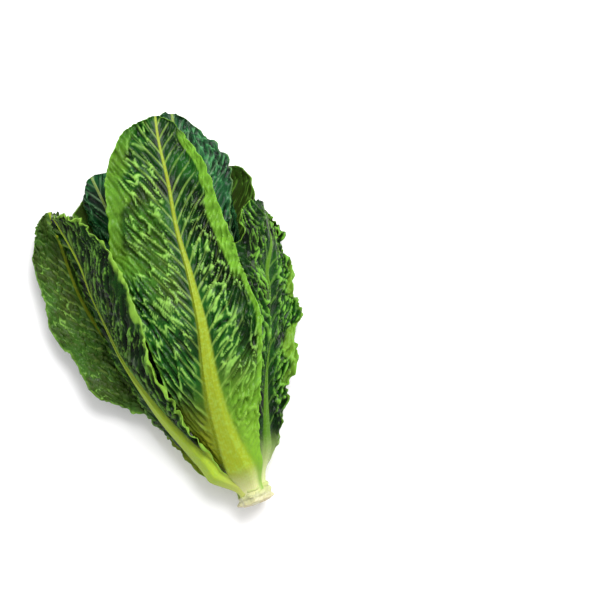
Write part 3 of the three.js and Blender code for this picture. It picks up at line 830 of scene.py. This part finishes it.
def finish_leaf(leaf, plan, material, cover):
    """Draws a leaf as a closed sheet: the fine surface raised by its relief, with an outer face that carries
    the midrib, an inner face, and a rim between them. A blade that would rise past LID bends down to it, and
    the base lies on the stem. What lies inside a leaf then keeps under it."""
    f = fair_surface(leaf, plan)
    plain = f["points"]
    outward = normals_of(plain)
    raised, vein, painted_crest_light = blade_relief(leaf, f)
    ridge = rib_height(leaf, f["t"]) * smooth((f["rib"] - np.abs(f["q"])) / ((1 - RIB_TOP) * f["rib"]))
    row, column, out = about_line(plain + outward * (BLADE / 2 + ridge)[..., None], COVER_FINE)
    room = nearby(nearby(cover, np.minimum), np.minimum)[row, column] - out - ROOM_LEFT
    closed = 1 - smooth(f["s"] / leaf["clasp"])
    raised = np.minimum(raised, np.maximum(room, -GIVE * smooth(f["s"] / leaf["clasp"] - 1)))
    across = np.gradient(plain, axis=1)
    across /= np.linalg.norm(across, axis=2, keepdims=True)
    bites = noise(f["s"] / NIBBLE_LENGTH + 7, np.sign(f["q"]) + 7, leaf["seed"] + 4) - NIBBLE_BIAS
    bites = bites * smooth((f["t"] - NIBBLED_FROM) / NIBBLED_OVER)
    nibble = leaf["nibble"] * bites * f["share"] ** 8
    plain = plain + across * (np.sign(f["q"]) * nibble)[..., None]
    middle = plain + outward * raised[..., None]
    over = np.maximum(middle[..., 2] - LID + LID_SOFT, 0) / LID_SOFT
    middle[..., 2] -= LID_SOFT * (over - 1 + np.exp(-over))
    outward = normals_of(middle)
    half = mix(BLADE, MARGIN_BLADE, smooth(f["share"] ** 3)) / 2
    outer = middle + outward * (half + ridge)[..., None]
    inner = middle - outward * half[..., None]
    outer = clasp(outer, closed, leaf["sheath"])
    inner = clasp(inner, closed, leaf["sheath"] - CLASP_BLADE)
    outer[..., 2] = np.maximum(outer[..., 2], FLOOR)
    inner[..., 2] = np.maximum(inner[..., 2], FLOOR + PRESSED_BLADE)
    row, column, out = about_line(inner, COVER_FINE)
    np.minimum.at(cover, (row, column), out)
    rows, columns = plain.shape[:2]
    loop = np.concatenate([outer, inner[:, ::-1]], 1)
    k = np.arange(columns - 1)
    last = np.stack([k, k + 1, 2 * columns - 2 - k, 2 * columns - 1 - k], -1) + (rows - 1) * 2 * columns
    first = last[:, ::-1] - (rows - 1) * 2 * columns
    faces = np.concatenate([loop_faces(rows, 2 * columns), first, last])
    # The mask of the puckers' crests carries painted highlight and painted shade.
    masks = {
        "rib": smooth((RIB_COLOUR_TO * f["rib"] - np.abs(f["q"])) / (RIB_COLOUR_OVER * f["rib"])),
        "vein": vein,
        "painted_crest_light": painted_crest_light,
        "way": f["t"],
        "margin": f["share"],
        "pale": leaf["pale"](f) if "pale" in leaf else 0 * f["t"],
        "place": f["q"],
    }
    masks = {name: np.concatenate([v, v[:, ::-1]], 1) for name, v in masks.items()}
    masks["inside"] = np.concatenate([np.zeros_like(f["t"]), np.ones_like(f["t"])], 1)
    points = (loop + HEAD_SHIFT).reshape(-1, 3) * MM
    piece = mesh_piece(leaf["name"] + "_blade", points, faces, material, masks)
    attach(piece, "root")
    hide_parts(leaf["name"])
    return piece


# Leaf tissue is living flesh under a thin waxy skin: dark green blades with a soft shine, paler veins, and a
# watery yellow-green midrib that whitens towards the stem. The masks that the surface was drawn with say
# where each of those is, and where shade is painted into the hollows of the puckers and a highlight onto
# their crests.
PATCH = 35.0
FLECK = 2.6
CELL = 1.1
RIB_LINE = 1.9  # between the fine lines along a midrib
BUMP_DEPTH = 0.12
LEAF_IOR = 1.42
LEAF_SHINE = 0.13
LEAF_SCATTER = 1.5  # how far light spreads in the tissue
ROUGHNESS_SPREAD = 0.07


def leaf_tissue(
    name, dark, green, painted_crest_light, vein, pale, rib, rib_base, roughness=0.25, base_from=0.2, white_from=0.085
):
    """A leaf's material, turned by masks from blade colour to painted shade and light, vein, pale part and
    midrib.

    base_from and white_from are where, going down the leaf, it turns to its midrib's colour and to white."""
    material, shader = new_material(name)
    tree = material.node_tree
    place = node(tree, "ShaderNodeTexCoord").outputs["Object"]
    mask = {
        key: node(tree, "ShaderNodeAttribute", attribute_name=key).outputs["Fac"]
        for key in ("rib", "vein", "painted_crest_light", "way", "margin", "pale", "place", "inside")
    }
    patches = mottle(tree, place, PATCH, 4.0)
    flecks = mottle(tree, place, FLECK, 3.0)
    cell = node(
        tree, "ShaderNodeTexVoronoi", {"Vector": place}, {"Scale": 1 / (CELL * MM)}, feature="SMOOTH_F1"
    ).outputs["Distance"]

    def towards(colour, other, share, low, high, most):
        """colour turned towards other as share goes from low to high, by most of the way."""
        way = node(
            tree, "ShaderNodeMapRange", {"Value": share},
            {"From Min": low, "From Max": high, "To Min": 0.0, "To Max": most},
            interpolation_type="SMOOTHSTEP",
        ).outputs["Result"]
        return blended(tree, way, colour, other)

    blade = towards(dark, green, patches, 0.36, 0.62, 1.0)
    blade = towards(blade, rib, mask["way"], base_from, 0.1, 0.85)
    blade = towards(blade, rib_base, mask["way"], white_from, 0.0, 0.8)
    # Painted shade darkens the puckers' hollows and a painted highlight lightens their crests.
    blade = towards(blade, dark, mask["painted_crest_light"], 0.55, 0.0, 0.95)
    blade = towards(blade, painted_crest_light, mask["painted_crest_light"], 0.6, 1.0, 0.85)
    blade = towards(blade, pale, mask["pale"], 0.0, 1.0, 0.8)
    blade = towards(blade, vein, mask["vein"], 0.2, 0.95, 0.5)
    blade = towards(blade, green, flecks, 0.45, 0.75, 0.2)
    blade = towards(blade, pale, mask["margin"], 0.94, 1.0, 0.5)
    blade = towards(blade, vein, mask["inside"], 0.0, 1.0, 0.12)
    stripes = node(
        tree, "ShaderNodeMath", {0: mask["place"]}, {1: 2 * math.pi / RIB_LINE}, operation="MULTIPLY"
    ).outputs[0]
    lines = node(tree, "ShaderNodeMath", {0: stripes}, operation="SINE").outputs[0]
    ribs = towards(rib, vein, flecks, 0.4, 0.7, 0.4)
    ribs = towards(ribs, green, lines, 0.0, 1.0, 0.07)
    ribs = towards(ribs, rib_base, mask["way"], white_from, 0.0, 0.95)
    tree.links.new(towards(blade, ribs, mask["rib"], 0.0, 1.0, 0.94), shader.inputs["Base Color"])

    lined = node(tree, "ShaderNodeMath", {0: lines, 1: mask["rib"]}, operation="MULTIPLY").outputs[0]
    grain = node(tree, "ShaderNodeMath", {0: cell, 1: flecks}, operation="ADD").outputs[0]
    relief = node(tree, "ShaderNodeMath", {0: lined, 2: grain}, {1: 0.5}, operation="MULTIPLY_ADD").outputs[0]
    bump = node(tree, "ShaderNodeBump", {"Height": relief}, {"Strength": 0.5, "Distance": BUMP_DEPTH * MM})
    tree.links.new(bump.outputs["Normal"], shader.inputs["Normal"])
    least, most = roughness - ROUGHNESS_SPREAD, roughness + ROUGHNESS_SPREAD
    rough = node(
        tree, "ShaderNodeMapRange", {"Value": flecks},
        {"From Min": 0.3, "From Max": 0.7, "To Min": least, "To Max": most},
    ).outputs["Result"]
    tree.links.new(rough, shader.inputs["Roughness"])
    shader.inputs["IOR"].default_value = LEAF_IOR
    shader.inputs["Specular IOR Level"].default_value = LEAF_SHINE
    shader.inputs["Subsurface Weight"].default_value = 0.15
    shader.inputs["Subsurface Radius"].default_value = (0.5, 1.0, 0.2)
    shader.inputs["Subsurface Scale"].default_value = LEAF_SCATTER * MM
    return material


# The outer leaves are finished first, then what lies inside them, so that each keeps under the one outside
# it. They have the deepest puckers and are the dark green of leaves that grew in full light. The two that
# the head lies on and the folded one are painted darker still, as shade. The margins of the top one and of
# the folded one beside it stand up.
NO_COVER = 90.0  # farther out than any leaf
cover = np.full((TABLE_ROWS * COVER_FINE, TABLE_ANGLES * COVER_FINE), NO_COVER)
SHEATH = 3.0  # how far above the stem the outermost leaf's base lies
SHEATH_STEP = 0.5  # from each leaf's base to the next one's inside it
MARGIN_RISE = 3.0
MARGIN_WAVE = 1.3
LONG_WAVE = 19.0
SHORT_WAVE = 11.0
FLAP_RISE = 3.0
SWELL = 2.0
SIDE_MARGIN_RISE = 4.0
SIDE_MARGIN_WAVE = 1.2
OUTER_SEED = 100
SEED_STEP = 10
OUTER_LOOK = dict(
    climb=[0.75, 0.75], gap=[13, 13], long=[15, 15], pucker=[3.2, 3.2], frill=1.8, nibble=2.0,
    fine=(240, 100), clasp=34, sheath=SHEATH, sheath_step=SHEATH_STEP,
)


def between(value, low, high, soft):
    """1 where a value lies between low and high and 0 outside, with smooth steps as wide as soft. Here they
    are shares of a leaf's length or of its half width, and a high of 2 or a low of -1 has no end."""
    return smooth((value - low) / soft + 0.5) * smooth((high - value) / soft + 0.5)


def wavy(f, length, depth, seed):
    """A share that wanders along a leaf, from -depth to depth over waves of about a length."""
    return depth * (2 * noise(f["s"] / length + 11, 0 * f["s"] + 11, seed) - 1)


def top_leaf_pale(f):
    """The top leaf's right margin stands up and is paler, and so is its base on the right. Its turned-over
    left flap and a patch in the middle of its left half are painted light.
    """
    right = f["q"] > 0
    upper = between(f["t"], 0.55, 0.94, 0.06)
    band = between(f["share"] + wavy(f, 9, 0.06, 31), 0.7, 2, 0.08) * upper * right
    edge = between(f["share"], 0.9, 2, 0.08) * between(f["t"], 0.2, 0.6, 0.08) * right
    # The left flap is painted light.
    upper = between(f["t"], 0.6, 0.97, 0.1)
    flap = between(f["share"] + wavy(f, 12, 0.12, 32), 0.66, 2, 0.2) * upper * ~right
    low = 0.9 * between(f["t"], -1, 0.3, 0.26) * right
    # A patch of painted light in the middle of the left half.
    lit = 0.3 * between(f["share"], 0.15, 0.75, 0.3) * between(f["t"], 0.5, 0.82, 0.16) * ~right
    return np.maximum.reduce([band, edge, 0.6 * flap, low, lit])


def top_leaf_calm(f):
    """How much of its puckers the top leaf has: fewer on the left flap and on the right near the tip."""
    flap = (f["q"] < 0) * between(f["share"], 0.7, 2, 0.2) * between(f["t"], 0.62, 2, 0.1)
    return 1 - 0.5 * flap - 0.55 * (f["q"] > 0) * between(f["t"], 0.72, 2, 0.25)


def top_leaf_folds(f):
    """The right margin rises by a smooth step and waves along its length. The left flap and the middle of
    each half swell by bell curves."""
    right = f["q"] > 0
    band = smooth((f["share"] - 0.55) / 0.2) * between(f["t"], 0.5, 0.95, 0.08) * right
    around = 2 * math.pi * f["s"]
    waves = np.sin(around / LONG_WAVE) + 0.6 * np.sin(around / SHORT_WAVE + 1)
    rest = wavy(f, 14, 0.05, 33) + f["share"]
    flap = np.exp(-(((rest - 0.74) / 0.1) ** 2)) * between(f["t"], 0.55, 0.97, 0.1) * ~right
    swell = np.exp(-(((f["share"] - 0.5) / 0.2) ** 2)) * between(f["t"], 0.2, 0.95, 0.3)
    return band * (MARGIN_RISE + MARGIN_WAVE * waves) + FLAP_RISE * flap + SWELL * swell * (1 + waves * 0.2)


def side_leaf_folds(f):
    """The left side leaf is folded lengthwise: its right half rises by a smooth step towards the margin."""
    right = f["q"] > 0
    upper = between(f["t"], 0.2, 0.98, 0.2)
    margin = smooth((f["share"] + wavy(f, 16, 0.06, 34) - 0.5) / 0.2)
    return (SIDE_MARGIN_RISE + wavy(f, 12, SIDE_MARGIN_WAVE, 35)) * margin * right * upper


def splayed_leaf_pale(f):
    """The lobes along the right splayed leaf's right margin are paler."""
    lobes = between(f["share"] + wavy(f, 13, 0.25, 37), 0.74, 2, 0.2) * between(f["t"], 0.35, 0.8, 0.1)
    return 0.8 * (f["q"] > 0) * lobes


def side_leaf_pale(f):
    """The left side leaf's upright margin is paler."""
    return (f["q"] > 0) * between(f["share"] + wavy(f, 10, 0.08, 36), 0.93, 2, 0.1)


# Painted shade: a darker copy of the outer tissue for the leaves under the head and the folded one.
shade_painted_tissue = leaf_tissue(
    "shade_painted_leaf_tissue", dark="#020702", green="#103309", painted_crest_light="#629232", vein="#7DA040", pale="#7AA438",
    rib="#94AC30", rib_base="#B4BC62",
)
crumpled_tissue = leaf_tissue(
    "crumpled_leaf_tissue", dark="#020802", green="#123D0A", painted_crest_light="#72AC38", vein="#5F8830",
    pale="#74A032", rib="#4C7418", rib_base="#C6CC8E", white_from=0.2,
)
outer_tissue = leaf_tissue(
    "outer_leaf_tissue", dark="#030B02", green="#184A12", painted_crest_light="#8ABA52", vein="#94B850", pale="#6C9E2C",
    rib="#879520", rib_base="#CFCE98", base_from=0.32,
)
UNDER_LOOK = dict(fine=(180, 84), pucker=[1.2, 1.2], tissue=shade_painted_tissue)
OUTER_LOOKS = {
    "top_leaf": dict(
        climb=[1.0, 0.7], gap=[14, 12], long=[17, 12], pucker=[4.6, 4.4], fine=(300, 124), clasp=24,
        folds=top_leaf_folds, pale=top_leaf_pale, calm=top_leaf_calm, tissue=outer_tissue,
    ),
    "splayed_leaf_left": dict(
        climb=[0.9, 0.9], gap=[11, 11], long=[9, 9], pucker=[6.0, 6.0], tissue=outer_tissue,
    ),
    "splayed_leaf_right": dict(
        gap=[16, 16], long=[11, 11], pucker=[4.6, 4.6], frill=3.5, nibble=4.0, pale=splayed_leaf_pale,
        tissue=crumpled_tissue,
    ),
    "side_leaf_left": dict(
        climb=[0.6, 1.0], gap=[14, 14], long=[13, 13], pucker=[3.0, 3.6], frill=2.6, clasp=24,
        folds=side_leaf_folds, pale=side_leaf_pale, tissue=shade_painted_tissue,
    ),
    "under_leaf_left": UNDER_LOOK,
    "under_leaf_right": UNDER_LOOK,
}


def finish_all(leaves, plans, look, looks, first_seed):
    """Finishes a group of leaves, the outermost first, each with the group's look and what is its own."""
    finished = []
    for count, (leaf, plan) in enumerate(reversed(list(zip(leaves, plans)))):
        own = {"seed": first_seed + SEED_STEP * count, **looks.get(leaf["name"], {})}
        dressed = {**leaf, **look, **own}
        dressed["sheath"] = look["sheath"] - look["sheath_step"] * count
        finished.append(finish_leaf(dressed, plan, dressed["tissue"], cover))
    return finished


for piece in finish_all(outer_leaves, outer_plans, OUTER_LOOK, OUTER_LOOKS, OUTER_SEED):
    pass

# The middle leaves are finished next. They are the same flesh, a little bluer with wax, and pucker less
# because they grew pressed between the others.
MIDDLE_SEED = 200
middle_tissue = leaf_tissue(
    "middle_leaf_tissue", dark="#041008", green="#164823", painted_crest_light="#488650", vein="#88AE80", pale="#6A8C4C",
    rib="#74883A", rib_base="#D3D49A",
)
MIDDLE_LOOK = dict(
    climb=[0.8, 0.8], gap=[13, 13], long=[14, 14], pucker=[1.6, 1.6], frill=1.8, nibble=2.0,
    fine=(210, 84), clasp=20, sheath=0.3, sheath_step=0, tissue=middle_tissue,
)
INNER_LOOK = dict(fine=(130, 64), pucker=[0.8, 0.8])
MIDDLE_LOOKS = {
    "back_leaf_right": dict(pucker=[2.0, 2.0], frill=3.0, long=[9, 9]),
    "inner_leaf_right": INNER_LOOK,
    "inner_leaf_left": INNER_LOOK,
    "inner_leaf_under": INNER_LOOK,
}
for piece in finish_all(middle_leaves, middle_plans, MIDDLE_LOOK, MIDDLE_LOOKS, MIDDLE_SEED):
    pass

# The heart leaves come last. They are thin, nearly smooth and yellow-green, and their skin has less wax, so
# that they shine less.
HEART_SEED = 300
heart_tissue = leaf_tissue(
    "heart_leaf_tissue", dark="#6E9430", green="#8FAF42", painted_crest_light="#A9C258", vein="#C5D084", pale="#C9D27E",
    rib="#CDD48C", rib_base="#DDE0B5", roughness=0.4,
)
HEART_LOOK = dict(
    MIDDLE_LOOK, climb=[0.7, 0.7], gap=[12, 12], long=[12, 12], pucker=[0.7, 0.7], frill=0.8, nibble=1.5,
    fine=(100, 56), tissue=heart_tissue,
)
for piece in finish_all(heart_leaves, heart_plans, HEART_LOOK, {}, HEART_SEED):
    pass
